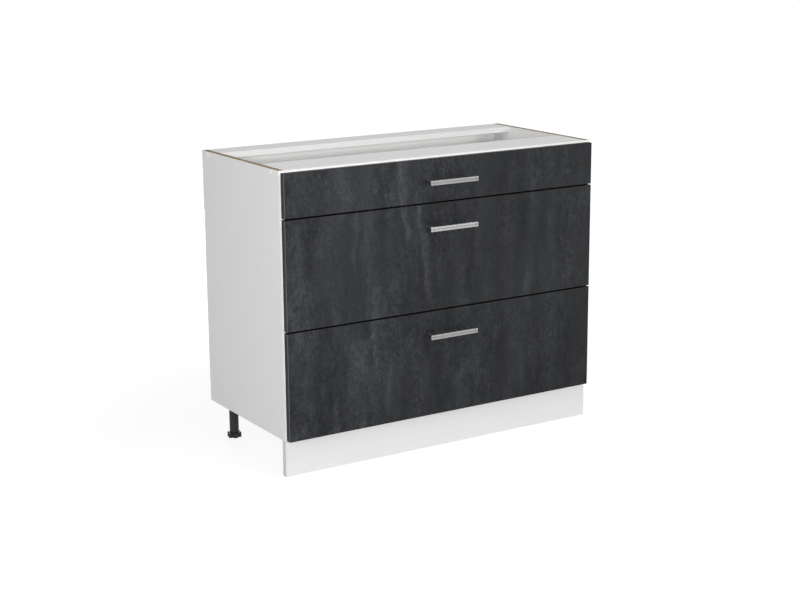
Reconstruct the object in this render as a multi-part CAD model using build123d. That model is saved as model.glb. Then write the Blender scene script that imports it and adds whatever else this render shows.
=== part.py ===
from build123d import *
from dataclasses import dataclass
import os

# A kitchen base cabinet with three drawers on roller runners, white boards and dark fronts.
# Millimetres, +Z up. The fronts face -Y and +X is on the right of someone facing them.
# Everything is laid out with X = 0 in the middle, Z = 0 on the floor and Y = 0 at the front
# edges of the carcass. The last step moves it so that the origin is under its middle.

# Carcass
width = 1000
height = 820
depth = 450  # from the front edges to the back of the back panel
board = 16
back_board = 3
leg_height = 100
front_traverse_depth = 130
rear_traverse_depth = 81
back_inset = 1  # the back panel stays this far inside the outline
plinth_height = 99
plinth_end_gap = 1.5
plinth_floor_gap = 0.5

# Drawer fronts
front_board = 18
front_edge_radius = 1.5
front_side_reveal = 4.5  # carcass edge that shows beside a front
front_top_reveal = 5.5
front_bottom_reveal = 0.5
front_gap = 3  # between two fronts
front_offset = 1.5  # between a front and the carcass, taken up by the buffers
top_front_height = 118
buffer_radius = 4
buffer_from_corner = 25

# Handles
hole_spacing = 128
bar_length = 152
bar_height = 13
bar_thickness = 10
bar_edge_radius = 1.2
bar_groove_height = 5
bar_groove_depth = 0.6
bar_end_length = 6  # plain end beyond the fine joint line of the bar
bar_line_width = 0.5
handle_reach = 40  # from the front to the face of the bar
post_radius = 5
post_seat_depth = 3.3  # how far a post goes into its bar
deep_handle_drop = 63  # from the top of a deep front to the middle of its handle

# Roller runners, seen in section from the inner face of a side panel
sheet = 1.2
bend = 1.4
wheel_radius = 8.5
wheel_width = 6.4
wheel_rim_radius = 6.4  # inside of the rim, outside of the hollow in each face
wheel_hub_radius = 3.6
wheel_hollow = 0.8
wheel_play = 0.3  # between a wheel and the track that it runs on
wheel_recess = 0.4  # of every wheel behind the outer leaf of a drawer wall
axle_radius = 2
turning_play = 0.05  # around an axle or a stem
axle_head_radius = 3
axle_head_width = 0.7
collar_radius = 3.5
end_play = 0.1  # between a wheel and its collar or axle head
channel_width = 11.5
channel_lift = 5.2  # from the drawer's lowest face to the channel floor
track_clearance = 0.8  # between the channel and the drawer's track
runner_setback = 3
front_wheel_setback = 22
front_wheel_opening = 42  # the channel's upper flange starts here
rear_wheel_inset = 14  # from the rear end of a drawer
stop_height = 5
stop_length = 6
stop_gap = 0.5
drawer_travel = 300
runner_screws = 3
runner_screw_margins = (20, 30)  # from the front wheel and from the rear end

# Drawer boxes
wall_gap = 3  # from the side panel to the outer leaf of a drawer wall
web_gap = 12.5  # from the side panel to the inner leaf
bottom_flange = 18
deep_wall_height = 150
low_wall_height = 54  # of the top drawer, under the traverses
rear_space = 47  # between the drawer box and the back panel
drawer_floor_clearance = 10  # above the bottom panel
middle_drawer_rise = 14  # from the lower edge of a front to its drawer
top_drawer_rise = 10
board_fit = 0.3  # between a drawer board and the steel beside it
bracket_sheet = 1.5
bracket_width = 20
bracket_leg = 28
bracket_rise = 18.5
bracket_height = 80
bracket_top_margin = 4
bracket_screw_inset = 7
bracket_screw_setback = 16.8  # of the screws into the wall, from the front
floor_screws = 4
floor_screw_margins = (40, 30)  # from the front and the rear end of a drawer
access_radius = 4.5

# Legs and feet
leg_inset_x = 40
leg_inset_front = 45
leg_inset_rear = 64
flange_size = 56
flange_thickness = 4
flange_corner = 6
tube_radius = 13
tube_wall = 2.5
gusset_height = 16
gusset_radius = 20
foot_radius = 20.5
foot_height = 14
foot_lobes = 6
foot_turn = 18  # degrees, of the first lobe from +X
lobe_radius = 6.5
lobe_edge_radius = 2
hub_radius = 15  # of the foot between its lobes
hub_drop = 1.5  # from the top of the lobes to the hub
stem_radius = 5
stem_length = 40
nut_height = 12
flange_screw_offset = 19

# Plinth clips
clip_height = 12
clip_wall = 2.4
clip_mouth = 16
clip_plate = 2
clip_plate_width = 30
clip_plate_height = 34
clip_bridge_width = 8
clip_centre_height = 50

# Joinery
drill_play = 0.05
seam = 0.1  # between small parts that are pushed together
connector_inset_front = 41
connector_inset_rear = 36
cap_radius = 6.2
cap_height = 0.8
dowel_radius = 4
dowel_length = 30
dowel_in_side = 11
dowel_inset_front = 95
dowel_inset_rear = 66
cam_radius = 7.5
cam_height = 12.5
cam_from_end = 34
cam_bolt_radius = 3.5
cam_inset_y = 150
cam_slot = (10.5, 1.5)  # for a screwdriver
cam_slot_depth = 1.5
base_dowel_inset_y = 110
worktop_hole_radius = 2.5
worktop_hole_inset_x = 104  # from the inner faces of the sides
nail_pitch = 120
recess_length = 1.2  # of a cross recess, per radius of its head
recess_width = 0.24
handle_screw_grip = 11  # into the post of a handle


@dataclass
class Fastener:
    """A round fastener: a head that stands on its seat and a shank below the seat."""
    head_radius: float
    head_height: float
    shank_radius: float
    length: float
    neck_radius: float = 0
    neck_length: float = 0
    slot: float = 0  # depth of the cross recess in the head

    def shape(self, play=0):
        body = Pos(0, 0, -self.length) * post(self.shank_radius + play, self.length)
        body += post(self.head_radius + play, self.head_height)
        if self.neck_length:
            body += Pos(0, 0, -self.neck_length) * post(self.neck_radius + play, self.neck_length)
        return body

    def solid(self, seat, outward):
        body = self.shape()
        if self.slot:
            arm = (self.head_radius * recess_length, self.head_radius * recess_width)
            for size in (arm, arm[::-1]):
                body -= Pos(0, 0, self.head_height - self.slot / 2) * Box(*size, self.slot)
        return Plane(origin=seat, z_dir=outward) * body

    def hole(self, seat, outward):
        return Plane(origin=seat, z_dir=outward) * self.shape(drill_play)


def post(radius, length):
    """A round solid that stands on Z = 0."""
    return Cylinder(radius, length, align=(Align.CENTER, Align.CENTER, Align.MIN))


def rod(start, direction, radius, length):
    """A round solid from a point along a direction."""
    return Plane(origin=start, z_dir=direction) * post(radius, length)


def block(x, y, z):
    """A rectangular solid between three pairs of low and high values."""
    size = [high - low for low, high in (x, y, z)]
    middle = [(high + low) / 2 for low, high in (x, y, z)]
    return Pos(*middle) * Box(*size)


def cut(solid, tools):
    """A solid with every hole in the list taken out of it."""
    for tool in tools:
        solid -= tool
    return solid


def steps(low, high, count):
    """Evenly spaced values from low to high."""
    return [low + (high - low) * i / (count - 1) for i in range(count)]


def other_hand(shape):
    """The same shape on the other side of the cabinet."""
    return mirror(shape, about=Plane.YZ)


def both_hands(shapes):
    return list(shapes) + [other_hand(shape) for shape in shapes]


def folded_sheet(points, thickness, bend_radius, y_span):
    """A strip folded through the points of its section and drawn out along Y."""
    section = trace(FilletPolyline(*points, radius=bend_radius), thickness)
    low, high = y_span
    return Plane((0, high, 0), x_dir=(1, 0, 0), z_dir=(0, -1, 0)) * extrude(section, high - low)


chipboard_screw = Fastener(head_radius=3.5, head_height=1, shank_radius=1.75, length=14, slot=0.6)
short_screw = Fastener(head_radius=3.2, head_height=1, shank_radius=1.5, length=7, slot=0.6)
connector = Fastener(head_radius=5, head_height=3, shank_radius=2.5, length=47,
                     neck_radius=3.5, neck_length=13, slot=1.5)
nail = Fastener(head_radius=2, head_height=0.5, shank_radius=0.8, length=22)
handle_screw = Fastener(head_radius=4, head_height=2.2, shank_radius=2,
                        length=front_board + handle_screw_grip, slot=1.2)

half = width / 2
inner_half = half - board
inner_depth = depth - back_board
base_top = leg_height + board
traverse_z = (height - board, height)

nodes = {}


# ---------------------------------------------------------------- where the fasteners go

def left_traverse_joints():
    """Seats of the screws and starts of the dowels that hold both traverses to the left side."""
    z = height - board / 2
    screws = [(-half + connector.head_height, y, z)
              for y in (connector_inset_front, depth - connector_inset_rear)]
    dowels = [(-inner_half - dowel_in_side, y, z)
              for y in (dowel_inset_front, depth - dowel_inset_rear)]
    return screws, dowels


def left_base_joints():
    """Starts of the dowels and cam bolts that hold the bottom panel to the left side."""
    z = leg_height + board / 2
    x = -inner_half - dowel_in_side
    dowels = [(x, y, z) for y in (base_dowel_inset_y, depth - base_dowel_inset_y)]
    bolts = [(x, y, z) for y in (cam_inset_y, depth - cam_inset_y)]
    return dowels, bolts


def nail_seats():
    """Seats of the nails in the back panel: along the sides, the base and the rear traverse."""
    y = depth - nail.head_height
    edge = half - board / 2
    low, high = leg_height + board / 2, height - board / 2
    upright = steps(low + nail_pitch / 2, high - nail_pitch / 2, round((high - low) / nail_pitch))
    along = steps(-edge + nail_pitch / 2, edge - nail_pitch / 2, round(2 * edge / nail_pitch))
    return [(x, y, z) for x in (-edge, edge) for z in upright] + [(x, y, z) for z in (low, high) for x in along]


# ---------------------------------------------------------------- carcass boards

def make_joinery():
    """Screws, caps, dowels and cam fittings, with the holes that they need."""
    right, back = (1, 0, 0), (0, 1, 0)
    screws, dowels = left_traverse_joints()
    base_dowels, bolts = left_base_joints()
    dowels = dowels + base_dowels

    connectors = [connector.solid(seat, (-1, 0, 0)) for seat in screws]
    caps = [rod((-half, y, z), (-1, 0, 0), cap_radius, cap_height) for _, y, z in screws]
    pins = [rod(start, right, dowel_radius, dowel_length) for start in dowels]
    bolt_length = dowel_in_side + cam_from_end - cam_radius - seam
    cam_bolts = [rod(start, right, cam_bolt_radius, bolt_length) for start in bolts]
    cam_x = -inner_half + cam_from_end
    cams = [rod((cam_x, y, leg_height), (0, 0, 1), cam_radius, cam_height) for _, y, _ in bolts]
    cams = [cam - Pos(cam_x, y, leg_height) * Box(*cam_slot, 2 * cam_slot_depth)
            for cam, (_, y, _) in zip(cams, bolts)]
    nails = [nail.solid(seat, back) for seat in nail_seats()]

    nodes["connector_screws"] = both_hands(connectors)
    nodes["screw_caps"] = both_hands(caps)
    nodes["dowels"] = both_hands(pins)
    nodes["cam_fittings"] = both_hands(cam_bolts + cams)
    nodes["back_nails"] = nails

    holes = [connector.hole(seat, (-1, 0, 0)) for seat in screws]
    holes += [rod((x - seam, y, z), right, dowel_radius + drill_play, dowel_length + 2 * seam)
              for x, y, z in dowels]
    holes += [rod((x - seam, y, z), right, cam_bolt_radius + drill_play, bolt_length + 2 * seam)
              for x, y, z in bolts]
    holes += [rod((cam_x, y, leg_height), (0, 0, 1), cam_radius + drill_play, cam_height + seam)
              for _, y, _ in bolts]
    nail_holes = [nail.hole(seat, back) for seat in nail_seats()]
    return both_hands(holes), nail_holes


def near(tools, solid):
    """The tools whose boxes reach the solid's box, so that no cut is tried in vain."""
    box = solid.bounding_box()
    found = []
    for tool in tools:
        other = tool.bounding_box()
        if (other.min.X < box.max.X and other.max.X > box.min.X
                and other.min.Y < box.max.Y and other.max.Y > box.min.Y
                and other.min.Z < box.max.Z and other.max.Z > box.min.Z):
            found.append(tool)
    return found


def make_boards(holes):
    """The six boards of the carcass, drilled for everything that passes through them."""
    upright = (leg_height, height)
    boards = {
        "side_left": block((-half, -inner_half), (0, inner_depth), upright),
        "side_right": block((inner_half, half), (0, inner_depth), upright),
        "bottom_panel": block((-inner_half, inner_half), (0, inner_depth), (leg_height, base_top)),
        "traverse_front": block((-inner_half, inner_half), (0, front_traverse_depth), traverse_z),
        "traverse_rear": block((-inner_half, inner_half),
                               (inner_depth - rear_traverse_depth, inner_depth), traverse_z),
        "back_panel": block((-half + back_inset, half - back_inset), (inner_depth, depth),
                            (leg_height + back_inset, height - back_inset)),
    }
    middles = {"traverse_front": front_traverse_depth / 2,
               "traverse_rear": inner_depth - rear_traverse_depth / 2}
    for name, y in middles.items():
        for x in (-inner_half + worktop_hole_inset_x, inner_half - worktop_hole_inset_x):
            boards[name] -= rod((x, y, height - board), (0, 0, 1), worktop_hole_radius, board)
    for name, solid in boards.items():
        nodes[name] = cut(solid, near(holes, solid))


# ---------------------------------------------------------------- legs, feet and plinth

def leg_places():
    x = half - leg_inset_x
    return {"front_left": (-x, leg_inset_front), "front_right": (x, leg_inset_front),
            "rear_left": (-x, depth - leg_inset_rear), "rear_right": (x, depth - leg_inset_rear)}


def flange_screw_seats(x, y):
    z = leg_height - flange_thickness
    return [(x + a * flange_screw_offset, y + b * flange_screw_offset, z)
            for a in (-1, 1) for b in (-1, 1)]


def leg_tube():
    """A tube with a fixing flange on top and a nut for the foot's stem below."""
    tube = Pos(0, 0, foot_height) * post(tube_radius, leg_height - foot_height)
    plate = Box(flange_size, flange_size, flange_thickness)
    plate = fillet(plate.edges().filter_by(Axis.Z), flange_corner)
    tube += Pos(0, 0, leg_height - flange_thickness / 2) * plate
    gusset_top = leg_height - flange_thickness
    tube += Pos(0, 0, gusset_top - gusset_height / 2) * Cone(tube_radius, gusset_radius, gusset_height)
    hollow = leg_height - foot_height - nut_height
    tube -= Pos(0, 0, foot_height + nut_height) * post(tube_radius - tube_wall, hollow)
    tube -= Pos(0, 0, foot_height) * post(stem_radius + turning_play, nut_height)
    return cut(tube, [chipboard_screw.hole(seat, (0, 0, -1)) for seat in flange_screw_seats(0, 0)])


def foot():
    """A levelling foot: round finger lobes about a lower hub, and a stem that screws in."""
    lobe = post(lobe_radius, foot_height)
    lobe = fillet(lobe.edges().group_by(Axis.Z)[-1], lobe_edge_radius)
    disc = post(hub_radius, foot_height - hub_drop)
    for place in PolarLocations(foot_radius - lobe_radius, foot_lobes, start_angle=foot_turn):
        disc += place * lobe
    return disc + post(stem_radius, foot_height + stem_length)


def plinth_clip():
    """A clip that snaps round a leg and is screwed to the back of the plinth."""
    low = clip_centre_height - clip_height / 2
    inner = tube_radius + seam
    outer = inner + clip_wall
    ring = Pos(0, 0, low) * post(outer, clip_height)
    bridge = leg_inset_front - board
    band = (low, low + clip_height)
    ring += block((-clip_bridge_width / 2, clip_bridge_width / 2),
                  (-bridge, -inner - clip_wall / 2), band)
    ring -= Pos(0, 0, low) * post(inner, clip_height)
    ring -= block((-clip_mouth / 2, clip_mouth / 2), (0, 2 * outer), band)
    reach = clip_plate_height / 2
    plate = block((-clip_plate_width / 2, clip_plate_width / 2), (-bridge, -bridge + clip_plate),
                  (clip_centre_height - reach, clip_centre_height + reach))
    return ring + plate


def clip_screw_seats(x):
    reach = (clip_plate_height + clip_height) / 4
    return [(x, board + clip_plate, clip_centre_height + side * reach) for side in (-1, 1)]


def make_supports():
    """Legs, feet, clips and plinth. Returns the screws that go into the boards."""
    tube, disc = leg_tube(), foot()
    places = leg_places()
    nodes["leg_tubes"] = [Pos(x, y, 0) * tube for x, y in places.values()]
    for name, (x, y) in places.items():
        nodes[f"foot_{name}"] = Pos(x, y, 0) * disc

    screws = [(seat, (0, 0, -1)) for x, y in places.values() for seat in flange_screw_seats(x, y)]
    clip_x = [places["front_left"][0], places["front_right"][0]]
    clip_screws = [(seat, (0, 1, 0)) for x in clip_x for seat in clip_screw_seats(x)]
    clips = [Pos(x, leg_inset_front, 0) * plinth_clip() for x in clip_x]
    clip_holes = [chipboard_screw.hole(*place) for place in clip_screws]
    nodes["plinth_clips"] = [cut(clip, near(clip_holes, clip)) for clip in clips]
    plinth_end = half - plinth_end_gap
    plinth = block((-plinth_end, plinth_end), (0, board),
                   (plinth_floor_gap, plinth_floor_gap + plinth_height))
    nodes["plinth"] = cut(plinth, near(clip_holes, plinth))
    return screws + clip_screws


# ---------------------------------------------------------------- drawers and their runners

@dataclass
class Row:
    """One drawer of the cabinet, named by its place."""
    name: str
    front_base: float
    front_height: float
    base: float  # underside of the drawer box
    wall_height: float
    handle_z: float

    @property
    def floor(self):
        """Top of the channel floor on which the rear wheels run."""
        return self.base + channel_lift

    @property
    def roof(self):
        return self.floor + 2 * (wheel_radius + wheel_play)

    @property
    def track(self):
        """Underside of the drawer's track, which rests on the front wheels."""
        return self.roof + sheet + track_clearance

    @property
    def rear_wheel_z(self):
        return self.floor + wheel_play + wheel_radius

    @property
    def front_wheel_z(self):
        return self.track - wheel_play - wheel_radius


def drawer_rows():
    """The three drawers, the lowest first."""
    lowest = leg_height + front_bottom_reveal
    top_base = height - front_top_reveal - top_front_height
    deep = (top_base - front_gap - lowest - front_gap) / 2
    middle = lowest + deep + front_gap
    return [
        Row("bottom", lowest, deep, base_top + drawer_floor_clearance, deep_wall_height,
            lowest + deep - deep_handle_drop),
        Row("middle", middle, deep, middle + middle_drawer_rise, deep_wall_height,
            middle + deep - deep_handle_drop),
        Row("top", top_base, top_front_height, top_base + top_drawer_rise, low_wall_height,
            top_base + top_front_height / 2),
    ]


drawer_start = -front_offset
drawer_end = inner_depth - rear_space - front_offset
runner_end = inner_depth - rear_space + runner_setback
rear_wheel_y = drawer_end - rear_wheel_inset
wheel_low = wall_gap + wheel_recess  # nearest face of every wheel to its side panel
wheel_high = wheel_low + wheel_width


def from_left_wall(shape):
    """Moves a shape drawn with X = 0 on the inner face of the left side to its place."""
    return Pos(-inner_half, 0, 0) * shape


def wheel(y, z):
    """A roller on an axle parallel to X, with a hollow ring in each face."""
    start, along = (wheel_low, y, z), (1, 0, 0)
    roller = rod(start, along, wheel_radius, wheel_width)
    roller -= rod(start, along, axle_radius + turning_play, wheel_width)
    ring = rod(start, along, wheel_rim_radius, wheel_hollow)
    ring -= rod(start, along, wheel_hub_radius, wheel_hollow)
    return roller - ring - Pos(wheel_width - wheel_hollow, 0, 0) * ring


def axle(y, z, root, tip):
    """Collar, axle and head for a wheel, from the sheet that carries them at x = root."""
    toward = 1 if tip > root else -1
    near_face, far_face = sorted((wheel_low, wheel_high), reverse=toward < 0)
    collar_end = near_face - toward * end_play
    axle_end = far_face + toward * end_play
    direction = (toward, 0, 0)
    pin = rod((root, y, z), direction, collar_radius, abs(collar_end - root))
    pin += rod((root, y, z), direction, axle_radius, abs(axle_end - root))
    pin += rod((axle_end, y, z), direction, axle_head_radius, axle_head_width)
    return pin


def runner_screw_seats(row):
    front, rear = runner_screw_margins
    return [(sheet, y, row.rear_wheel_z)
            for y in steps(front_wheel_setback + front, runner_end - rear, runner_screws)]


def cabinet_runner(row):
    """The channel on the side panel, with its front axle and the stop that the wheel meets."""
    middle = sheet / 2
    section = [(channel_width, row.floor - middle), (middle, row.floor - middle),
               (middle, row.roof + middle), (channel_width, row.roof + middle)]
    channel = folded_sheet(section, sheet, bend, (runner_setback, runner_end))
    channel -= block((sheet, 2 * channel_width), (runner_setback, front_wheel_opening),
                     (row.roof - bend, row.roof + 2 * sheet))
    channel += axle(front_wheel_setback, row.front_wheel_z, sheet / 2, channel_width)
    stop_end = rear_wheel_y - drawer_travel - wheel_radius - stop_gap
    channel += block((sheet / 2, channel_width - bend), (stop_end - stop_length, stop_end),
                     (row.floor - sheet / 2, row.floor + stop_height))
    return cut(channel, [channel_hole(*seat) for seat in runner_screw_seats(row)])


def channel_hole(x, y, z):
    """A screw hole through the web of a channel."""
    radius = chipboard_screw.shank_radius + drill_play
    return rod((x + sheet, y, z), (-1, 0, 0), radius, 3 * sheet)


def wall_screw_seats(row):
    """Screws through the inner leaf into the drawer's back board, from outside."""
    low = row.track + 4 * sheet + access_radius
    high = row.base + row.wall_height - 2 * access_radius - sheet
    heights = (low, high) if high - low > 4 * access_radius else ((low + high) / 2,)
    return [(web_gap, drawer_end - board / 2, z) for z in heights]


def floor_screw_seats(row):
    """Screws through the flange under a wall into the drawer's bottom board, from below."""
    x = web_gap + sheet + bottom_flange / 2
    front, rear = floor_screw_margins
    return [(x, y, row.base)
            for y in steps(drawer_start + front, drawer_end - rear, floor_screws)]


def bracket_heights(row):
    low = row.base + bracket_rise
    return low, min(low + bracket_height, row.base + row.wall_height - bracket_top_margin)


def bracket_front_seats(row):
    low, high = bracket_heights(row)
    x = web_gap + sheet + bracket_width / 2
    return [(x, drawer_start + bracket_sheet, z)
            for z in (low + bracket_screw_inset, high - bracket_screw_inset)]


def bracket_wall_seats(row):
    low, high = bracket_heights(row)
    y = drawer_start + bracket_screw_setback
    return [(web_gap + sheet + bracket_sheet, y, z)
            for z in (low + bracket_screw_inset, high - bracket_screw_inset)]


def drawer_wall(row):
    """A folded steel wall: track, outer leaf, top, inner leaf and the flange under the bottom."""
    middle = sheet / 2
    top = row.base + row.wall_height - middle
    section = [(web_gap - 2 * sheet, row.track + middle), (wall_gap + middle, row.track + middle),
               (wall_gap + middle, top), (web_gap + middle, top),
               (web_gap + middle, row.base + middle),
               (web_gap + sheet + bottom_flange, row.base + middle)]
    wall = folded_sheet(section, sheet, bend, (drawer_start, drawer_end))
    wall += axle(rear_wheel_y, row.rear_wheel_z, web_gap + middle, 0)
    holes = [rod((0, y, z), (1, 0, 0), access_radius, wall_gap + 2 * sheet)
             for _, y, z in wall_screw_seats(row)]
    holes += [chipboard_screw.hole(seat, (-1, 0, 0)) for seat in wall_screw_seats(row)]
    holes += [chipboard_screw.hole(seat, (0, 0, -1)) for seat in floor_screw_seats(row)]
    holes += [short_screw.hole(seat, (1, 0, 0)) for seat in bracket_wall_seats(row)]
    return cut(wall, holes)


def front_bracket(row):
    """An angle that joins a drawer wall to the back of the front."""
    z = bracket_heights(row)
    x = web_gap + sheet
    angle = block((x, x + bracket_width), (drawer_start, drawer_start + bracket_sheet), z)
    angle += block((x, x + bracket_sheet), (drawer_start, drawer_start + bracket_leg), z)
    holes = [chipboard_screw.hole(seat, (0, 1, 0)) for seat in bracket_front_seats(row)]
    holes += [short_screw.hole(seat, (1, 0, 0)) for seat in bracket_wall_seats(row)]
    return cut(angle, holes)


def drawer_screws(row):
    """Every small screw of the left half of a drawer, in its place."""
    found = [chipboard_screw.solid(seat, (-1, 0, 0)) for seat in wall_screw_seats(row)]
    found += [chipboard_screw.solid(seat, (0, 0, -1)) for seat in floor_screw_seats(row)]
    found += [chipboard_screw.solid(seat, (0, 1, 0)) for seat in bracket_front_seats(row)]
    found += [short_screw.solid(seat, (1, 0, 0)) for seat in bracket_wall_seats(row)]
    return [from_left_wall(screw) for screw in found]


def handle_screw_seats(row):
    return [(x, drawer_start, row.handle_z) for x in (-hole_spacing / 2, hole_spacing / 2)]


def handle(row):
    """A flat bar with a shallow groove along its face and two round posts behind it."""
    face = drawer_start - front_board - handle_reach
    rear = face + bar_thickness
    z = row.handle_z
    bar = block((-bar_length / 2, bar_length / 2), (face, rear),
                (z - bar_height / 2, z + bar_height / 2))
    bar = fillet(bar.edges(), bar_edge_radius)
    plain = bar_length / 2 - bar_end_length
    bar -= block((-plain, plain), (face, face + bar_groove_depth),
                 (z - bar_groove_height / 2, z + bar_groove_height / 2))
    for side in (-plain, plain):
        line = block((side - bar_line_width / 2, side + bar_line_width / 2), (face, rear),
                     (z - bar_height / 2, z + bar_height / 2))
        core = bar_groove_depth
        line -= block((-bar_length, bar_length), (face + core, rear - core),
                      (z - bar_height / 2 + core, z + bar_height / 2 - core))
        bar -= line
    post_start = rear - post_seat_depth
    for x, seat_y, _ in handle_screw_seats(row):
        bar += rod((x, post_start, z), (0, 1, 0), post_radius, seat_y - front_board - post_start)
    return cut(bar, [handle_screw.hole(seat, (0, 1, 0)) for seat in handle_screw_seats(row)])


def drawer_front(row, holes):
    edge = half - front_side_reveal
    panel = block((-edge, edge), (drawer_start - front_board, drawer_start),
                  (row.front_base, row.front_base + row.front_height))
    return cut(fillet(panel.edges(), front_edge_radius), holes)


def make_drawer(row):
    """Every piece of one drawer and of its runners. Returns its screws in the side panels."""
    name = row.name
    floor_z = row.base + sheet
    inside = inner_half - web_gap - sheet - board_fit
    on_flange = inside - (bend - sheet / 2)  # clear of the fold between wall and flange
    hand = {"left": lambda shape: shape, "right": other_hand}
    wall, channel = from_left_wall(drawer_wall(row)), from_left_wall(cabinet_runner(row))
    for side, turn in hand.items():
        nodes[f"drawer_wall_{side}_{name}"] = turn(wall)
        nodes[f"runner_{side}_{name}"] = turn(channel)
    nodes[f"front_rollers_{name}"] = both_hands(
        [from_left_wall(wheel(front_wheel_setback, row.front_wheel_z))])
    nodes[f"rear_rollers_{name}"] = both_hands(
        [from_left_wall(wheel(rear_wheel_y, row.rear_wheel_z))])

    side_holes = both_hands(
        [from_left_wall(chipboard_screw.hole(seat, (-1, 0, 0))) for seat in wall_screw_seats(row)]
        + [from_left_wall(chipboard_screw.hole(seat, (0, 0, -1))) for seat in floor_screw_seats(row)])
    front_holes = both_hands(
        [from_left_wall(chipboard_screw.hole(seat, (0, 1, 0))) for seat in bracket_front_seats(row)])
    front_holes += [handle_screw.hole(seat, (0, 1, 0)) for seat in handle_screw_seats(row)]

    bottom = block((-on_flange, on_flange), (drawer_start + board_fit, drawer_end),
                   (floor_z, floor_z + board))
    back = block((-inside, inside), (drawer_end - board, drawer_end),
                 (floor_z + board, row.base + row.wall_height - sheet))
    nodes[f"drawer_bottom_{name}"] = cut(bottom, near(side_holes, bottom))
    nodes[f"drawer_back_{name}"] = cut(back, near(side_holes, back))
    nodes[f"front_{name}"] = drawer_front(row, front_holes)
    nodes[f"front_brackets_{name}"] = both_hands([from_left_wall(front_bracket(row))])
    nodes[f"drawer_screws_{name}"] = both_hands(drawer_screws(row))
    nodes[f"handle_{name}"] = handle(row)
    nodes[f"handle_screws_{name}"] = [handle_screw.solid(seat, (0, 1, 0))
                                      for seat in handle_screw_seats(row)]
    left = [((x - inner_half, y, z), (1, 0, 0)) for x, y, z in runner_screw_seats(row)]
    return left + [((-x, y, z), (-1, 0, 0)) for (x, y, z), _ in left]


def make_buffers(rows):
    """Small soft discs on the front edges of the sides, which the closed fronts touch."""
    x = half - board / 2
    places = [(x, row.front_base + row.front_height - buffer_from_corner) for row in rows]
    discs = [rod((x, 0, z), (0, -1, 0), buffer_radius, front_offset) for x, z in places]
    nodes["buffers"] = both_hands(discs)


# ---------------------------------------------------------------- the whole cabinet

def build():
    rows = drawer_rows()
    board_screws = make_supports()
    for row in rows:
        board_screws += make_drawer(row)
    make_buffers(rows)
    holes, nail_holes = make_joinery()
    holes += nail_holes + [chipboard_screw.hole(*place) for place in board_screws]
    make_boards(holes)
    nodes["chipboard_screws"] = [chipboard_screw.solid(*place) for place in board_screws]


def write():
    """One STEP file per node, with the origin under the middle of the whole cabinet."""
    os.makedirs("parts", exist_ok=True)
    face = drawer_start - front_board - handle_reach
    to_middle = Pos(0, -(face + depth) / 2, 0)
    for name, shape in nodes.items():
        solids = shape if isinstance(shape, list) else [shape]
        solids = [solid for item in solids for solid in (to_middle * item).solids()]
        whole = solids[0] if len(solids) == 1 else Compound(children=solids)
        export_step(whole, f"parts/{name}.step")


build()
write()
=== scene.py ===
import math
from typing import NamedTuple

import bmesh
import bpy
from mathutils import Matrix, Vector


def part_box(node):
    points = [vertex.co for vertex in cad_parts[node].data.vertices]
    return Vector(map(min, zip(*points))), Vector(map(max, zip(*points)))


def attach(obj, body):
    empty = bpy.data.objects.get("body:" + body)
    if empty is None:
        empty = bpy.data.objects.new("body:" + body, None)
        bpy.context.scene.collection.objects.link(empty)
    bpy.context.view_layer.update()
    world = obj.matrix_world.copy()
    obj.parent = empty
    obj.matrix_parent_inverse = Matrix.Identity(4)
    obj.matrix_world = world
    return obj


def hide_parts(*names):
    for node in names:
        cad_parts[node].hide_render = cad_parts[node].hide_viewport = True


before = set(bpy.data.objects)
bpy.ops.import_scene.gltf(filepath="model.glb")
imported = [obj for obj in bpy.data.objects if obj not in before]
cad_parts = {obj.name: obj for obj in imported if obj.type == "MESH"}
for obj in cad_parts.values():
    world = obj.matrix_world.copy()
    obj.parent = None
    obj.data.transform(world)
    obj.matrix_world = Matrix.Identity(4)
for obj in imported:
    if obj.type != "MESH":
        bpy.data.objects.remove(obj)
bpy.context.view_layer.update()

MM = 0.001
ROWS = ("bottom", "middle", "top")
FLOAT, COLOUR, VECTOR = "NodeSocketFloat", "NodeSocketColor", "NodeSocketVector"


# ------------------------------------------------------------------ colours and patterns

class Noise(NamedTuple):
    """A noise pattern: its cells in a metre, and how much closer they lie along each axis."""
    scale: float = 1.0
    stretch: tuple = (1, 1, 1)
    detail: float = 4
    roughness: float = 0.5
    shift: tuple = (0, 0, 0)


NOISE_MIDDLE = 0.5

# The unevenness that every surface has. Its roughness swings more than its tone.
HANDLING_BROAD = Noise(3.1, detail=5, roughness=0.6)
HANDLING_FINE = Noise(38, roughness=0.6)
HANDLING_BROAD_SHARE = 0.65
HANDLING_ROUGHNESS = 1.5

# White board, its edging and its raw edges.
WHITE = (0.83, 0.83, 0.825)
# Painted light: the drawer boards inside are set whiter than the same white board of the carcass,
# standing in for more light inside.
INSIDE_WHITE_PAINTED_LIGHT = (0.86, 0.86, 0.855)
# Painted shade: the plinth's white is set darker than the same white board elsewhere.
PLINTH_WHITE_PAINTED_SHADE = (0.805, 0.805, 0.8)
# Painted shade: the plinth's end faces are set much darker than the edging elsewhere.
PLINTH_END_PAINTED_SHADE = (0.68, 0.68, 0.675)
# Real white edging, set lighter than the board faces as painted light on the front edges.
EDGING_PAINTED_LIGHTER = (0.93, 0.93, 0.925)
# Painted shade: the rear traverse's front edge is set darker than the same edging on the other
# boards.
REAR_EDGING_PAINTED_SHADE = (0.79, 0.79, 0.785)
FACE_ROUGHNESS = 0.42
RAW_ROUGHNESS = 0.95
PEARL_FINE = Noise(1500, detail=2)
PEARL_SOFT = Noise(260, detail=3)
CHIP_FLAKES = 420
CHIP_TONES = ((0.0, (0.20, 0.135, 0.07)), (0.45, (0.39, 0.295, 0.18)), (1.0, (0.56, 0.46, 0.31)))
CHIP_GRAIN = Noise(900, detail=3)
CHIP_PORES = ((0.36, 0.45), (0.55, 1.0))

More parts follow.
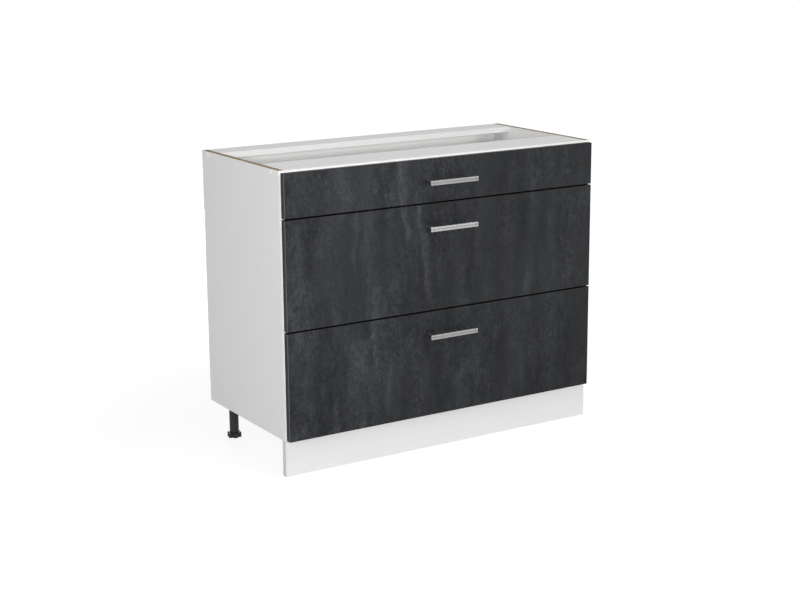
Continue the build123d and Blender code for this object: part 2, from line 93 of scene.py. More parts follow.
# The back panel: white lacquer inside, brown fibre behind.
# Real white lacquer, set whiter than the boards as painted light inside the cabinet.
LACQUER_WHITE_PAINTED_LIGHT = (0.97, 0.97, 0.96)
FIBRES = Noise(300, (1, 1, 1.4), detail=6, roughness=0.7)
FIBRE_TONES = ((0.3, (0.26, 0.17, 0.095)), (0.7, (0.40, 0.285, 0.17)))
FIBRE_CLOUDS = Noise(24, detail=5, roughness=0.65)
FIBRE_CLOUD_TONES = ((0.3, 0.88), (0.7, 1.1))

# The bars of the handles. Each has its own grey, set lighter or darker than the others as painted
# light and shade, though the handles are alike.
BAR_GREY_PAINTED_LIGHT_AND_SHADE = {
    "bottom": (0.335, 0.335, 0.34),
    "middle": (0.385, 0.385, 0.39),
    "top": (0.29, 0.29, 0.295),
}
BRUSH_LINES = Noise(stretch=(30, 3200, 3200), detail=5, roughness=0.7)
BRUSH_BROAD = Noise(stretch=(8, 420, 420), detail=3)
BRUSH_LINES_SHARE = 0.6
GROOVE_HALF = 2.5 * MM
GROOVE_SOFT = 0.5 * MM
# Painted shade: the groove along the middle of each bar is darkened.
GROOVE_PAINTED_SHADE = 0.74
BAR_END = 6.2 * MM
BAR_END_SOFT = 1.0 * MM
BAR_END_TONE = 1.12
BAR_LINE_HALF = 0.5 * MM
BAR_LINE_TONE = 0.6

# Plastic, enamel, zinc and beech.
MOULD_GRAIN = Noise(detail=3, roughness=0.6)
ENAMEL_PEEL = Noise(420, detail=1, roughness=0.4)
ZINC_CRYSTALS = 700
ZINC_DARKEST = 0.86
BEECH_FLECKS = Noise(stretch=(120, 2100, 2100))
BEECH_TONES = ((0.35, (0.42, 0.26, 0.12)), (0.65, (0.62, 0.43, 0.24)))

# The decor of the fronts.
HALF_WIDTH = 0.5
DECOR_HUE = Noise(stretch=(11, 1, 6), detail=3, shift=(4.4, 0, 3.3))
DECOR_PIGMENTS = (
    (0.34, (0.0199, 0.0207, 0.0242)),
    (0.50, (0.0199, 0.0210, 0.0237)),
    (0.66, (0.0189, 0.0212, 0.0234)),
)
DECOR_DARKEST = 0.3
DECOR_CONTRAST = (1.05, 0.92)  # at the left and the right end of the cabinet
# Painted shade: the fronts' colour is multiplied from 1.07 at the left end of the cabinet down to
# 0.61 at the right end, standing in for light that falls off to the right.
DECOR_PAINTED_SHADE_ACROSS = (1.07, 0.61)
EDGE_STRIP = (0.012, 0.0125, 0.0135)
# Painted shade: the top and bottom edge faces of the fronts are nearly black, darker than the same
# edging on their ends, standing in for the shade in the gaps between the fronts.
GAP_PAINTED_SHADE = (0.003, 0.003, 0.0032)
# Painted highlight: the rounded edges of the fronts are lighter than their dark edging, standing in
# for light caught on the rounding.
EDGE_PAINTED_HIGHLIGHT = (0.12, 0.122, 0.126)

# What makes the outlines of its streaks and smears ragged, and how far it moves them.
DECOR_WARP = Noise(9, detail=6, roughness=0.62)
DECOR_WARP_REACH = (0.045, 0.0, 0.045)
DECOR_LAYER_RANGE = (0.3, 0.7)
DECOR_LAYERS = (  # pattern, darkest tone, palest tone
    (Noise(stretch=(6, 1, 3), roughness=0.60, shift=(0.6, 0, 5.2)), 0.78, 1.25),
    (Noise(stretch=(17, 1, 2.6), detail=5, roughness=0.62, shift=(2.3, 0, 0.4)), 0.60, 1.46),
    (Noise(stretch=(34, 1, 17), detail=6, roughness=0.70, shift=(7.7, 0, 1.9)), 0.56, 1.54),
    (Noise(stretch=(95, 1, 70), detail=5, roughness=0.72, shift=(1.1, 0, 3.7)), 0.50, 1.61),
    (Noise(stretch=(330, 1, 170), roughness=0.65), 0.66, 1.35),
)

# Places that are rubbed smooth, and rough ones. They change how strong the fine layers are, which
# are those with this many cells or more in a metre across.
DECOR_FINE = 30
DECOR_PLACES = Noise(stretch=(7, 1, 4.5), detail=3, shift=(5.5, 0, 2.2))
DECOR_PLACES_RANGE = (0.38, 0.62)
DECOR_RUBBED = (0.35, 1.2)  # in the smoothest and in the roughest place

# Pale flecks, and the broken body of a smear.
DECOR_FLECKS = Noise(stretch=(110, 1, 130), detail=5, roughness=0.75, shift=(3, 0, 9))
DECOR_FLECKS_RANGE = (0.60, 0.74)
DECOR_FLECKS_TONE = 0.55
SMEAR_GRAIN = Noise(stretch=(95, 1, 60), roughness=0.7)
SMEAR_GRAIN_RANGE = (0.38, 0.62)
SMEAR_GRAIN_TONES = (0.35, 1.5)

# Trowel smears, in metres. The first number is the sharp flank's place at the top. A minus width
# fades to the left, the lean is the flank's way to the right for each metre down, and a minus
# strength is darker.
SMEAR_SHARP_FLANK = (-0.2, 0.1)  # in widths of the smear
SMEAR_SOFT_FLANK = (0.1, 1.0)
SMEAR_END = (-0.02, 0.025)
DECOR_SMEARS = (  # flank, top, bottom, width, lean, strength
    (-0.150, 0.830, 0.690, 0.038, 0.00, 1.25),
    (-0.156, 0.700, 0.602, 0.028, 0.30, 1.60),
    (-0.094, 0.705, 0.630, 0.024, -0.02, 1.30),
    (-0.086, 0.640, 0.420, 0.032, 0.10, 1.30),
    (-0.262, 0.700, 0.400, 0.080, 0.02, 0.55),
    (-0.330, 0.830, 0.690, 0.050, 0.02, 0.35),
    (-0.282, 0.690, 0.556, -0.022, -0.05, 0.72),
    (-0.240, 0.490, 0.250, 0.032, 0.02, 0.75),
    (-0.252, 0.360, 0.180, -0.060, -0.25, 0.55),
    (-0.330, 0.350, 0.250, 0.060, 0.25, 0.40),
    (-0.192, 0.260, 0.130, 0.034, 0.00, 0.63),
    (-0.150, 0.400, 0.230, 0.036, 0.00, 0.32),
    (0.082, 0.290, 0.160, 0.030, 0.08, 0.81),
    (0.262, 0.478, 0.412, 0.046, 0.00, 1.30),
    (-0.365, 0.475, 0.400, 0.045, 0.05, 0.54),
    (0.345, 0.640, 0.570, 0.035, 0.00, 0.54),
    (0.245, 0.240, 0.120, 0.028, 0.06, 0.45),
    (0.062, 0.700, 0.430, 0.050, 0.00, -0.35),
    (-0.055, 0.700, 0.560, 0.120, 0.00, -0.22),
    (0.250, 0.700, 0.550, 0.100, 0.00, -0.30),
    (0.380, 0.640, 0.520, 0.060, 0.00, -0.30),
    (-0.040, 0.250, 0.110, 0.100, 0.00, -0.28),
    (0.110, 0.240, 0.110, 0.080, 0.00, -0.28),
    (0.300, 0.200, 0.100, 0.160, 0.00, -0.25),
)


# ------------------------------------------------------------------ shader helpers

def add_node(tree, kind, values=None, **settings):
    """A shader node with its settings, and with values or links on its inputs."""
    node = tree.nodes.new(kind)
    for key, value in settings.items():
        setattr(node, key, value)
    for socket, value in (values or {}).items():
        give(tree, node.inputs[socket], value)
    return node


def give(tree, socket, value):
    """Links an output to a socket, or sets the socket to a value."""
    if isinstance(value, bpy.types.NodeSocket):
        tree.links.new(value, socket)
    else:
        socket.default_value = value


def grey(level):
    return (level, level, level, 1)


def opaque(colour):
    """A colour socket's value for three numbers. A link stays as it is."""
    return (*colour, 1) if isinstance(colour, tuple) else colour


def math_node(tree, operation, first, second=0.0, third=0.0, clamp=False):
    return add_node(tree, "ShaderNodeMath", {0: first, 1: second, 2: third},
                    operation=operation, use_clamp=clamp).outputs[0]


def vector_node(tree, operation, first, second):
    return add_node(tree, "ShaderNodeVectorMath", {0: first, 1: second},
                    operation=operation).outputs[0]


def scaled(tree, colour, factor):
    """A colour or a vector times a number."""
    return add_node(tree, "ShaderNodeVectorMath", {0: colour, "Scale": factor},
                    operation="SCALE").outputs[0]


def shared(tree, first, second, share):
    """So much of the first value, and the rest of the second."""
    return math_node(tree, "ADD", math_node(tree, "MULTIPLY", first, share),
                     math_node(tree, "MULTIPLY", second, 1 - share))


def distance(tree, value, middle):
    """How far a value is from the middle, on either side."""
    return math_node(tree, "ABSOLUTE", math_node(tree, "SUBTRACT", value, middle))


def remap(tree, value, span, tones, kind="LINEAR"):
    """The first tone up to the span's start, the second from its end on, a slope between."""
    values = {"Value": value, "From Min": span[0], "From Max": span[1],
              "To Min": tones[0], "To Max": tones[1]}
    return add_node(tree, "ShaderNodeMapRange", values, interpolation_type=kind).outputs[0]


def smooth_step(tree, value, span, tones=(0.0, 1.0)):
    return remap(tree, value, span, tones, "SMOOTHSTEP")


def split(tree, vector):
    return add_node(tree, "ShaderNodeSeparateXYZ", {0: vector}).outputs


def ramp(tree, factor, stops):
    """A colour ramp through (position, grey level or colour) stops."""
    node = add_node(tree, "ShaderNodeValToRGB", {"Fac": factor})
    points = node.color_ramp.elements
    while len(points) < len(stops):
        points.new(0.5)
    for point, (position, colour) in zip(points, stops):
        point.position = position
        point.color = opaque(colour) if isinstance(colour, tuple) else grey(colour)
    return node.outputs["Color"]


def blend_colours(tree, factor, first, second, mode="MIX"):
    """The first colour where the factor is 0, the second where it is 1."""
    node = add_node(tree, "ShaderNodeMix", {"Factor": factor}, data_type="RGBA", blend_type=mode)
    colours = [socket for socket in node.inputs if socket.type == "RGBA"]
    for socket, colour in zip(colours, (first, second)):
        give(tree, socket, opaque(colour))
    return next(socket for socket in node.outputs if socket.type == "RGBA")


def random_cells(tree, vector, scale):
    """One random value for each cell of a pattern with so many cells in a metre."""
    cells = add_node(tree, "ShaderNodeTexVoronoi", {"Vector": vector, "Scale": scale})
    return add_node(tree, "ShaderNodeSeparateColor", {0: cells.outputs["Color"]}).outputs[0]


def noise_texture(tree, vector, noise):
    return add_node(tree, "ShaderNodeTexNoise",
                    {"Vector": vector, "Scale": noise.scale, "Detail": noise.detail,
                     "Roughness": noise.roughness}).outputs


def stretched_noise(tree, vector, noise):
    """A pattern whose cells are longer where its stretch is small."""
    moved = add_node(tree, "ShaderNodeMapping",
                     {"Vector": vector, "Scale": noise.stretch, "Location": noise.shift})
    return noise_texture(tree, moved.outputs[0], noise)["Fac"]


def new_group(name, inputs, outputs):
    """An empty shader node group with named sockets: (name, kind, default)."""
    group = bpy.data.node_groups.new(name, "ShaderNodeTree")
    for socket_name, kind, default in inputs:
        socket = group.interface.new_socket(socket_name, in_out="INPUT", socket_type=kind)
        if default is not None:
            socket.default_value = default
    for socket_name, kind in outputs:
        group.interface.new_socket(socket_name, in_out="OUTPUT", socket_type=kind)
    entry = group.nodes.new("NodeGroupInput")
    leave = group.nodes.new("NodeGroupOutput")
    return group, entry.outputs, leave.inputs


def place_group(tree, group, values):
    return add_node(tree, "ShaderNodeGroup", values, node_tree=group).outputs


# ------------------------------------------------------------------ shared effects

def make_chip_edge_group():
    """Raw chipboard: pressed wood flakes of several browns, with dark pores between them."""
    group, entry, leave = new_group("chip_edge", [("Vector", VECTOR, None)],
                                    [("Color", COLOUR), ("Height", FLOAT)])
    flakes = ramp(group, random_cells(group, entry["Vector"], CHIP_FLAKES), CHIP_TONES)
    grain = stretched_noise(group, entry["Vector"], CHIP_GRAIN)
    pores = ramp(group, grain, CHIP_PORES)
    group.links.new(blend_colours(group, 1.0, flakes, pores, "MULTIPLY"), leave["Color"])
    group.links.new(grain, leave["Height"])
    return group


def make_handling_group():
    """Faint unevenness of tone, as from cleaning and handling, and a matching roughness."""
    group, entry, leave = new_group(
        "handling",
        [("Vector", VECTOR, None), ("Color", COLOUR, grey(1)), ("Amount", FLOAT, 0.04),
         ("Roughness", FLOAT, 0.5)],
        [("Color", COLOUR), ("Roughness", FLOAT)])
    broad = stretched_noise(group, entry["Vector"], HANDLING_BROAD)
    fine = stretched_noise(group, entry["Vector"], HANDLING_FINE)
    mixed = shared(group, broad, fine, HANDLING_BROAD_SHARE)
    swing = math_node(group, "MULTIPLY", math_node(group, "SUBTRACT", mixed, NOISE_MIDDLE),
                      entry["Amount"])
    toned = scaled(group, entry["Color"], math_node(group, "ADD", swing, 1.0))
    rough = math_node(group, "MULTIPLY_ADD", swing, HANDLING_ROUGHNESS, entry["Roughness"],
                      clamp=True)
    group.links.new(toned, leave["Color"])
    group.links.new(rough, leave["Roughness"])
    return group


def make_brushing_group():
    """Fine parallel brush lines along X, as tone and as height."""
    group, entry, leave = new_group("brushing", [("Vector", VECTOR, None), ("Depth", FLOAT, 0.5)],
                                    [("Tone", FLOAT), ("Height", FLOAT)])
    lines = stretched_noise(group, entry["Vector"], BRUSH_LINES)
    broad = stretched_noise(group, entry["Vector"], BRUSH_BROAD)
    mixed = shared(group, lines, broad, BRUSH_LINES_SHARE)
    centred = math_node(group, "SUBTRACT", mixed, NOISE_MIDDLE)
    tone = math_node(group, "MULTIPLY_ADD", centred, entry["Depth"], 1.0)
    group.links.new(tone, leave["Tone"])
    group.links.new(lines, leave["Height"])
    return group


def make_smear_group():
    """One upright smear of a trowel: a sharp flank, a fading one, and soft ends, as a mask."""
    group, entry, leave = new_group(
        "smear",
        [("Vector", VECTOR, None), ("Across", FLOAT, 0.0), ("Top", FLOAT, 1.0),
         ("Bottom", FLOAT, 0.0), ("Width", FLOAT, 0.02), ("Lean", FLOAT, 0.0)],
        [("Mask", FLOAT)])
    place = split(group, entry["Vector"])
    below_top = math_node(group, "SUBTRACT", entry["Top"], place["Z"])
    above_bottom = math_node(group, "SUBTRACT", place["Z"], entry["Bottom"])
    flank = math_node(group, "MULTIPLY_ADD", below_top, entry["Lean"], entry["Across"])
    off_flank = math_node(group, "SUBTRACT", place["X"], flank)
    beside = math_node(group, "DIVIDE", off_flank, entry["Width"])
    mask = math_node(group, "MULTIPLY", smooth_step(group, beside, SMEAR_SHARP_FLANK),
                     smooth_step(group, beside, SMEAR_SOFT_FLANK, (1.0, 0.0)))
    for inside in (below_top, above_bottom):
        mask = math_node(group, "MULTIPLY", mask, smooth_step(group, inside, SMEAR_END))
    group.links.new(mask, leave["Mask"])
    return group


CHIP_EDGE = make_chip_edge_group()
HANDLING = make_handling_group()
BRUSHING = make_brushing_group()
SMEAR = make_smear_group()


# ------------------------------------------------------------------ materials

class Finish:
    """A material under construction: its tree, its shader and its object coordinates."""

    def __init__(self, name, metallic=0.0, specular=0.5):
        self.material = bpy.data.materials.new(name)
        self.material.use_nodes = True
        self.tree = self.material.node_tree
        self.shader = self.tree.nodes["Principled BSDF"]
        self.shader.inputs["Metallic"].default_value = metallic
        self.shader.inputs["Specular IOR Level"].default_value = specular
        coordinates = self.tree.nodes.new("ShaderNodeTexCoord").outputs
        self.place = coordinates["Object"]
        self.normal = coordinates["Normal"]

    def bump(self, height, strength, distance):
        node = add_node(self.tree, "ShaderNodeBump",
                        {"Height": height, "Strength": strength, "Distance": distance})
        self.tree.links.new(node.outputs[0], self.shader.inputs["Normal"])

    def handled(self, colour, amount, roughness):
        """Base colour and roughness through the shared unevenness."""
        out = place_group(self.tree, HANDLING, {
            "Vector": self.place, "Color": opaque(colour), "Amount": amount,
            "Roughness": roughness})
        self.tree.links.new(out["Color"], self.shader.inputs["Base Color"])
        self.tree.links.new(out["Roughness"], self.shader.inputs["Roughness"])


def facing(finish, sides, least=0.5):
    """1 on faces that look along one of the sides, such as '+y' or 'z' for both ways."""
    tree = finish.tree
    parts = split(tree, finish.normal)
    mask = 0.0
    for side in sides:
        value = parts["xyz".index(side[-1])]
        if side[0] == "-":
            value = math_node(tree, "MULTIPLY", value, -1.0)
        elif side[0] != "+":
            value = math_node(tree, "ABSOLUTE", value)
        mask = math_node(tree, "MAXIMUM", mask, math_node(tree, "GREATER_THAN", value, least))
    return mask


def rounding(finish, least=0.98):
    """1 on the rounded edges, where no part of the normal reaches the least."""
    tree = finish.tree
    x, y, z = [math_node(tree, "ABSOLUTE", part) for part in split(tree, finish.normal)]
    largest = math_node(tree, "MAXIMUM", math_node(tree, "MAXIMUM", x, y), z)
    return math_node(tree, "LESS_THAN", largest, least)


def melamine(name, raw_sides, edged_sides, edging=EDGING_PAINTED_LIGHTER, white=WHITE):
    """White melamine board: a faint pearl texture, raw chipboard and edging by side. The white and
    edging given for some boards are set lighter or darker than one another as painted light and
    shade.
    """
    finish = Finish(name, specular=0.3)
    tree = finish.tree
    chips = place_group(tree, CHIP_EDGE, {"Vector": finish.place})
    raw = facing(finish, raw_sides)
    edged = facing(finish, edged_sides)
    faces = blend_colours(tree, edged, white, edging)
    pearl = shared(tree, stretched_noise(tree, finish.place, PEARL_FINE),
                   stretched_noise(tree, finish.place, PEARL_SOFT), 0.5)
    height = add_node(tree, "ShaderNodeMix", {"Factor": raw, "A": pearl, "B": chips["Height"]},
                      data_type="FLOAT").outputs["Result"]
    roughness = remap(tree, raw, (0.0, 1.0), (FACE_ROUGHNESS, RAW_ROUGHNESS))
    finish.handled(blend_colours(tree, raw, faces, chips["Color"]), amount=0.03,
                   roughness=roughness)
    finish.bump(height, strength=0.25, distance=0.15 * MM)
    return finish.material


def printed_layers(tree, ragged):
    """Tone of the upright streaks, the mottling and the grain, about 1."""
    places = stretched_noise(tree, ragged, DECOR_PLACES)
    rubbed = remap(tree, places, DECOR_PLACES_RANGE, DECOR_RUBBED)
    tone = 1.0
    for noise, darkest, palest in DECOR_LAYERS:
        pattern = stretched_noise(tree, ragged, noise)
        change = remap(tree, pattern, DECOR_LAYER_RANGE, (darkest - 1, palest - 1))
        if noise.stretch[0] >= DECOR_FINE:
            change = math_node(tree, "MULTIPLY", change, rubbed)
        tone = math_node(tree, "MULTIPLY", tone, math_node(tree, "ADD", change, 1.0))
    return tone


def trowel_smears(tree, ragged):
    """What all the smears add to the tone."""
    smears = 0.0
    for across, top, bottom, width, lean, strength in DECOR_SMEARS:
        smear = place_group(tree, SMEAR, {"Vector": ragged, "Across": across, "Top": top,
                                          "Bottom": bottom, "Width": width, "Lean": lean})
        smears = math_node(tree, "MULTIPLY_ADD", smear["Mask"], strength, smears)
    return smears


def printed_concrete(tree, place):
    """Tone of the printed concrete, about 1: layers, broken trowel smears and flecks."""
    warp = noise_texture(tree, place, DECOR_WARP)["Color"]
    warp = vector_node(tree, "SUBTRACT", warp, (NOISE_MIDDLE, NOISE_MIDDLE, NOISE_MIDDLE))
    warp = vector_node(tree, "MULTIPLY", warp, DECOR_WARP_REACH)
    ragged = vector_node(tree, "ADD", place, warp)
    broken = remap(tree, stretched_noise(tree, place, SMEAR_GRAIN), SMEAR_GRAIN_RANGE,
                   SMEAR_GRAIN_TONES)
    flecks = remap(tree, stretched_noise(tree, place, DECOR_FLECKS), DECOR_FLECKS_RANGE,
                   (0.0, DECOR_FLECKS_TONE))
    marks = math_node(tree, "MULTIPLY_ADD", trowel_smears(tree, ragged), broken, flecks)
    return math_node(tree, "ADD", printed_layers(tree, ragged), marks)


def concrete_decor():
    """Dark laminate printed as weathered concrete, running on over all three fronts. Painted shade
    darkens it towards the right end and on the top and bottom edge faces, and a painted highlight
    lightens the rounded edges.
    """
    finish = Finish("dark_concrete_decor", specular=0.15)
    tree, place = finish.tree, finish.place
    across = split(tree, place)["X"]
    contrast = remap(tree, across, (-HALF_WIDTH, HALF_WIDTH), DECOR_CONTRAST)
    # Painted shade: darker towards the right end of the cabinet.
    painted_shade_across = remap(tree, across, (-HALF_WIDTH, HALF_WIDTH), DECOR_PAINTED_SHADE_ACROSS)
    swing = math_node(tree, "SUBTRACT", printed_concrete(tree, place), 1.0)
    tone = math_node(tree, "MULTIPLY_ADD", swing, contrast, 1.0)
    tone = math_node(tree, "MAXIMUM", tone, DECOR_DARKEST)
    tone = math_node(tree, "MULTIPLY", tone, painted_shade_across)
    pigment = ramp(tree, stretched_noise(tree, place, DECOR_HUE), DECOR_PIGMENTS)
    shown = scaled(tree, pigment, tone)
    for where, colour in (
        (facing(finish, ("x",)), EDGE_STRIP),
        # Painted highlight on the rounded edges.
        (rounding(finish), EDGE_PAINTED_HIGHLIGHT),
        # Painted shade in the gaps between the fronts.
        (facing(finish, ("z",), least=0.2), GAP_PAINTED_SHADE),
        (facing(finish, ("+y",)), WHITE),
    ):
        shown = blend_colours(tree, where, shown, colour)
    finish.handled(shown, amount=0.06, roughness=0.45)
    finish.bump(tone, strength=0.3, distance=0.12 * MM)
    return finish.material


def brushed_bar(row):
    """Satin brushed metal: fine lines along the bar, a groove darkened with painted shade, brighter
    ends past a line.
    """
    finish = Finish(f"brushed_handle_{row}", metallic=1.0)
    tree = finish.tree
    low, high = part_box(f"handle_{row}")
    end_line = high.x - BAR_END
    place = split(tree, finish.place)
    off_groove = distance(tree, place["Z"], (low.z + high.z) / 2)
    from_middle = math_node(tree, "ABSOLUTE", place["X"])
    off_line = distance(tree, from_middle, end_line)
    brush = place_group(tree, BRUSHING, {"Vector": finish.place})
    tone = brush["Tone"]
    for value, span, tones in (
        # Painted shade in the groove.
        (off_groove, (GROOVE_HALF - GROOVE_SOFT, GROOVE_HALF + GROOVE_SOFT), (GROOVE_PAINTED_SHADE, 1.0)),
        (from_middle, (end_line, end_line + BAR_END_SOFT), (1.0, BAR_END_TONE)),
        (off_line, (BAR_LINE_HALF, 2 * BAR_LINE_HALF), (BAR_LINE_TONE, 1.0)),
    ):
        tone = math_node(tree, "MULTIPLY", tone, smooth_step(tree, value, span, tones))
    # Painted light and shade: each row's bar has its own grey.
    finish.handled(scaled(tree, BAR_GREY_PAINTED_LIGHT_AND_SHADE[row], tone), amount=0.06, roughness=0.4)
    finish.bump(brush["Height"], strength=0.15, distance=0.05 * MM)
    return finish.material


def moulded(name, colour, roughness, grains, depth, specular=0.5):
    """Moulded plastic or rubber with the fine texture of its tool, so many grains in a metre."""
    finish = Finish(name, specular=specular)
    grain = stretched_noise(finish.tree, finish.place, MOULD_GRAIN._replace(scale=grains))
    finish.handled(colour, amount=0.12, roughness=roughness)
    finish.bump(grain, strength=0.3, distance=depth)
    return finish.material


def enamelled(name, colour, roughness):
    """Baked enamel on sheet steel: a slight orange-peel surface."""
    finish = Finish(name)
    peel = stretched_noise(finish.tree, finish.place, ENAMEL_PEEL)
    finish.handled(colour, amount=0.05, roughness=roughness)
    finish.bump(peel, strength=0.22, distance=0.08 * MM)
    return finish.material


def zinc_plate(name, colour):
    """Bright zinc with the faint bloom of its crystals."""
    finish = Finish(name, metallic=1.0)
    tree = finish.tree
    crystals = random_cells(tree, finish.place, ZINC_CRYSTALS)
    darkest = tuple(ZINC_DARKEST * part for part in colour)
    finish.handled(ramp(tree, crystals, ((0.0, darkest), (1.0, colour))), amount=0.08,
                   roughness=0.34)
    return finish.material


def beech():
    """Plain beech with its short flecks along X."""
    finish = Finish("beech_wood")
    flecks = stretched_noise(finish.tree, finish.place, BEECH_FLECKS)
    finish.handled(ramp(finish.tree, flecks, BEECH_TONES), amount=0.08, roughness=0.6)
    finish.bump(flecks, strength=0.3, distance=0.1 * MM)
    return finish.material


def hardboard():
    """Thin fibreboard, lacquered white inside, that white set lighter as painted light, and plain
    brown pressed fibre behind.
    """
    finish = Finish("back_hardboard", specular=0.35)
    tree = finish.tree
    fibres = stretched_noise(tree, finish.place, FIBRES)
    clouds = stretched_noise(tree, finish.place, FIBRE_CLOUDS)
    brown = blend_colours(tree, 1.0, ramp(tree, fibres, FIBRE_TONES),
                          ramp(tree, clouds, FIBRE_CLOUD_TONES), "MULTIPLY")
    rear = facing(finish, ("+y", "x", "z"))
    finish.handled(blend_colours(tree, rear, LACQUER_WHITE_PAINTED_LIGHT, brown), amount=0.05, roughness=0.5)
    finish.bump(fibres, strength=0.3, distance=0.12 * MM)
    return finish.material


ZINC = zinc_plate("bright_zinc", (0.62, 0.62, 0.60))
CAP_PLASTIC = moulded("white_cap_plastic", (0.98, 0.98, 0.98), roughness=0.2, grains=500,
                      depth=0.03 * MM, specular=1.0)
BAR_FINISHES = tuple((f"handle_{row}", brushed_bar(row)) for row in ROWS)
FINISHES = (  # how the names of the nodes start, and their finish; the first row that fits counts
    ("side_", melamine("white_side_board", raw_sides=("z", "+y"), edged_sides=("-y",))),
    (("bottom_panel", "traverse_front"),
     melamine("white_board", raw_sides=("+y",), edged_sides=("-y",))),
    ("traverse_rear",
     melamine("white_rear_traverse", raw_sides=("+y",), edged_sides=("-y",), edging=REAR_EDGING_PAINTED_SHADE)),
    ("back_panel", hardboard()),
    (("plinth_clips", "leg_", "foot_"),
     moulded("black_leg_plastic", (0.009, 0.009, 0.0095), roughness=0.5, grains=900,
             depth=0.1 * MM, specular=0.35)),
    ("plinth", melamine("white_plinth_board", raw_sides=("+z",), edged_sides=("x",),
                        edging=PLINTH_END_PAINTED_SHADE, white=PLINTH_WHITE_PAINTED_SHADE)),
    ("dowels", beech()),
    ("screw_caps", CAP_PLASTIC),
    ("buffers", moulded("soft_buffer", (0.66, 0.66, 0.64), roughness=0.35, grains=600,
                        depth=0.05 * MM)),
    ("runner_", enamelled("white_runner_steel", (0.76, 0.76, 0.75), roughness=0.3)),
    (("front_rollers", "rear_rollers"),
     moulded("white_nylon", (0.74, 0.74, 0.71), roughness=0.4, grains=700, depth=0.05 * MM)),
    ("front_brackets", zinc_plate("zinc_bracket", (0.56, 0.57, 0.58))),
    ("front_", concrete_decor()),
    ("drawer_wall", enamelled("grey_drawer_steel", (0.66, 0.67, 0.68), roughness=0.32)),
    ("drawer_back", melamine("white_drawer_back", raw_sides=("-z", "x"), edged_sides=("+z",),
                             white=INSIDE_WHITE_PAINTED_LIGHT)),
    ("drawer_bottom", melamine("white_drawer_bottom", raw_sides=("x", "y"), edged_sides=(),
                               white=INSIDE_WHITE_PAINTED_LIGHT)),
    *BAR_FINISHES,
)


def finish_of_node(name):
    """The finish of a CAD node. Screws, nails and cam fittings have no row and are zinc."""
    for starts, finish in FINISHES:
        if name.startswith(starts):
            return finish
    return ZINC


for name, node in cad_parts.items():
    for slot in node.material_slots:
        slot.material = finish_of_node(name)


# ------------------------------------------------------------------ pieces made here

def add_object(name, data):
    """A mesh, a lamp or a camera as an object of the scene."""
    thing = bpy.data.objects.new(name, data)
    bpy.context.scene.collection.objects.link(thing)
    return thing


def finished_mesh(name, shape, material):
    """The mesh of a bmesh, which is freed, in one material."""
    mesh = bpy.data.meshes.new(name)
    shape.to_mesh(mesh)
    shape.free()
    mesh.materials.append(material)
    return mesh


CAP_DOME = (  # from the panel over the rim to the top: shares of the radius and of the height
    (0, 0), (1, 0), (1, 0.35), (0.96, 0.6), (0.86, 0.78), (0.6, 0.92), (0.3, 0.98), (0, 1),
)
CAP_STEPS = 40
SAME_PLACE = 0.01 * MM


def make_screw_caps():
    """Low domed plastic caps over the traverse screws, pressed against both side panels."""
    low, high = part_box("screw_caps")
    radius = (high.z - low.z) / 2
    panel_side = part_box("side_right")[1].x
    height = high.x - panel_side
    shape = bmesh.new()
    for side in (-1, 1):
        for y in (low.y + radius, high.y - radius):
            middle = Vector((0, y, (low.z + high.z) / 2))
            points = [shape.verts.new((side * (panel_side + height * up), middle.y,
                                       middle.z + radius * out)) for out, up in CAP_DOME]
            edges = [shape.edges.new(pair) for pair in zip(points, points[1:])]
            bmesh.ops.spin(shape, geom=points + edges, cent=middle, axis=(1, 0, 0),
                           angle=2 * math.pi, steps=CAP_STEPS, use_merge=True)
    bmesh.ops.remove_doubles(shape, verts=shape.verts, dist=SAME_PLACE)
    bmesh.ops.recalc_face_normals(shape, faces=shape.faces)
    mesh = finished_mesh("domed_screw_caps", shape, CAP_PLASTIC)
    mesh.shade_smooth()
    caps = add_object("domed_screw_caps", mesh)
    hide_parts("screw_caps")
    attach(caps, "carcass")


make_screw_caps()


# ------------------------------------------------------------------ stage, light and camera

PICTURE_WIDTH = 800
SENSOR_WIDTH = 36
CAMERA_FOCAL_PX = 1602
CAMERA_PLACE = (-2.368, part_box("side_left")[0].y - 3.571, 1.453)
CAMERA_YAW = 31.97  # from +Y towards +X
CAMERA_DOWN = 13.59
CAMERA_ROLL = 0.43
ROOM_LIGHT = 0.25
FLOOR_SIZE = 60
FLOOR_BOUNCE = 0.55
FLOOR_SHADE = 0.2
FLOOR_GLOW = (0.86, 1.0)  # near the cabinet and far from it
FLOOR_GLOW_SPAN = (0.75, 1.6)
LAMPS = (  # name, place, the point that it looks at, side and power
    ("key_lamp", (-2.4, -3.85, 1.48), (0, 0, 0.5), 0.4, 80),
    ("left_lamp", (-3.0, -1.2, 1.3), (0, 0, 0.5), 1.2, 21),
    ("front_lamp", (1.8, -4.6, 1.6), (0, 0, 0.5), 0.6, 56),
    ("top_lamp", (0, -0.9, 2.8), (0, 0, 0.8), 1.6, 15.5),
    ("back_lamp", (0.8, 3.6, 0.4), (0, 0, 0.4), 0.7, 60),
    ("right_lamp", (3.0, -0.5, 0.35), (0, 0, 0.4), 0.8, 32),
)


def seen_directly(tree):
    """1 for what the camera sees, straight or through metal and glass."""
    path = tree.nodes.new("ShaderNodeLightPath").outputs
    seen = math_node(tree, "MAXIMUM", path["Is Camera Ray"], path["Is Glossy Ray"])
    return math_node(tree, "MAXIMUM", seen, path["Is Transmission Ray"])


def shader(tree, kind, values=None):
    return add_node(tree, kind, values).outputs[0]


def mixed_shaders(tree, factor, first, second):
    """The first shader where the factor is 0, the second where it is 1."""
    return shader(tree, "ShaderNodeMixShader", {0: factor, 1: first, 2: second})


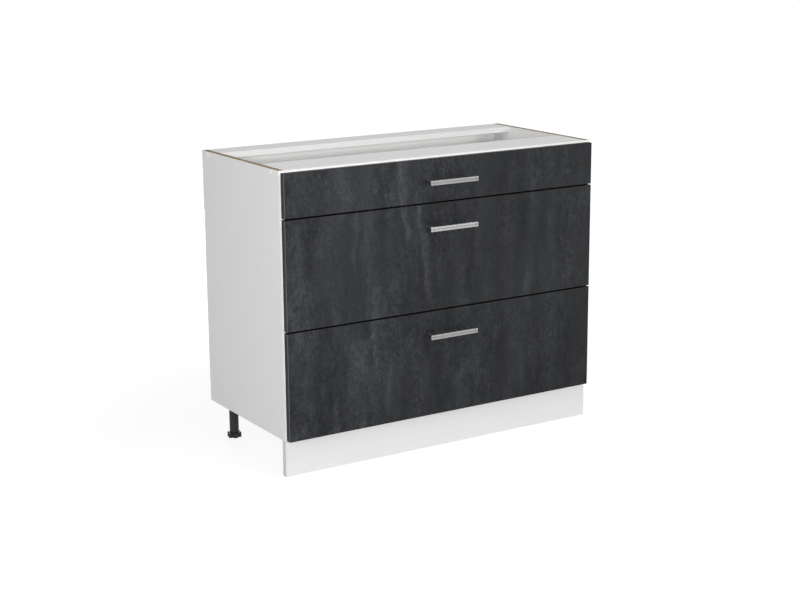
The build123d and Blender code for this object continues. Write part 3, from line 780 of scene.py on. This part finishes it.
def floor_material():
    """Glowing white with a faint shadow where it is seen, plain grey to the light, clear below."""
    material = bpy.data.materials.new("studio_floor")
    material.use_nodes = True
    tree = material.node_tree
    tree.nodes.clear()
    place = tree.nodes.new("ShaderNodeTexCoord").outputs["Object"]
    away = add_node(tree, "ShaderNodeVectorMath", {0: place}, operation="LENGTH").outputs["Value"]
    level = smooth_step(tree, away, FLOOR_GLOW_SPAN, FLOOR_GLOW)
    bounce = shader(tree, "ShaderNodeBsdfDiffuse", {"Color": grey(FLOOR_BOUNCE)})
    glow = shader(tree, "ShaderNodeEmission", {"Strength": level})
    shade = shader(tree, "ShaderNodeBsdfDiffuse", {"Color": grey(FLOOR_SHADE)})
    white = shader(tree, "ShaderNodeAddShader", {0: glow, 1: shade})
    above = mixed_shaders(tree, seen_directly(tree), bounce, white)
    clear = shader(tree, "ShaderNodeBsdfTransparent")
    from_below = tree.nodes.new("ShaderNodeNewGeometry").outputs["Backfacing"]
    out = tree.nodes.new("ShaderNodeOutputMaterial")
    tree.links.new(mixed_shaders(tree, from_below, above, clear), out.inputs["Surface"])
    return material


def make_floor():
    shape = bmesh.new()
    bmesh.ops.create_grid(shape, x_segments=1, y_segments=1, size=FLOOR_SIZE)
    add_object("floor", finished_mesh("floor", shape, floor_material()))


def make_world():
    """A weakly lit room that is pure white where it is seen."""
    world = bpy.data.worlds.new("studio")
    bpy.context.scene.world = world
    world.use_nodes = True
    tree = world.node_tree
    tree.nodes.clear()
    room = shader(tree, "ShaderNodeBackground", {"Color": grey(1), "Strength": ROOM_LIGHT})
    white = shader(tree, "ShaderNodeBackground", {"Color": grey(1), "Strength": 1.0})
    out = tree.nodes.new("ShaderNodeOutputWorld")
    tree.links.new(mixed_shaders(tree, seen_directly(tree), room, white), out.inputs["Surface"])


def make_lamp(name, place, aim, size, power):
    """A square soft lamp that looks at a point and isn't in the way of any view."""
    data = bpy.data.lights.new(name, "AREA")
    data.size = size
    data.energy = power
    lamp = add_object(name, data)
    lamp.location = place
    lamp.rotation_euler = (Vector(aim) - Vector(place)).to_track_quat("-Z", "Y").to_euler()
    lamp.visible_camera = False


def make_camera():
    """The photograph's viewpoint: from the left, a little above, looking slightly down."""
    data = bpy.data.cameras.new("camera")
    data.sensor_width = SENSOR_WIDTH
    data.lens = CAMERA_FOCAL_PX * SENSOR_WIDTH / PICTURE_WIDTH
    camera = add_object("camera", data)
    upright = Matrix.Rotation(math.radians(90 - CAMERA_DOWN), 4, "X")
    turned = Matrix.Rotation(math.radians(-CAMERA_YAW), 4, "Z") @ upright
    rolled = turned @ Matrix.Rotation(math.radians(-CAMERA_ROLL), 4, "Z")
    camera.matrix_world = Matrix.Translation(CAMERA_PLACE) @ rolled
    bpy.context.scene.camera = camera


make_floor()
make_world()
for lamp in LAMPS:
    make_lamp(*lamp)
make_camera()
bpy.context.scene.view_settings.view_transform = "Standard"
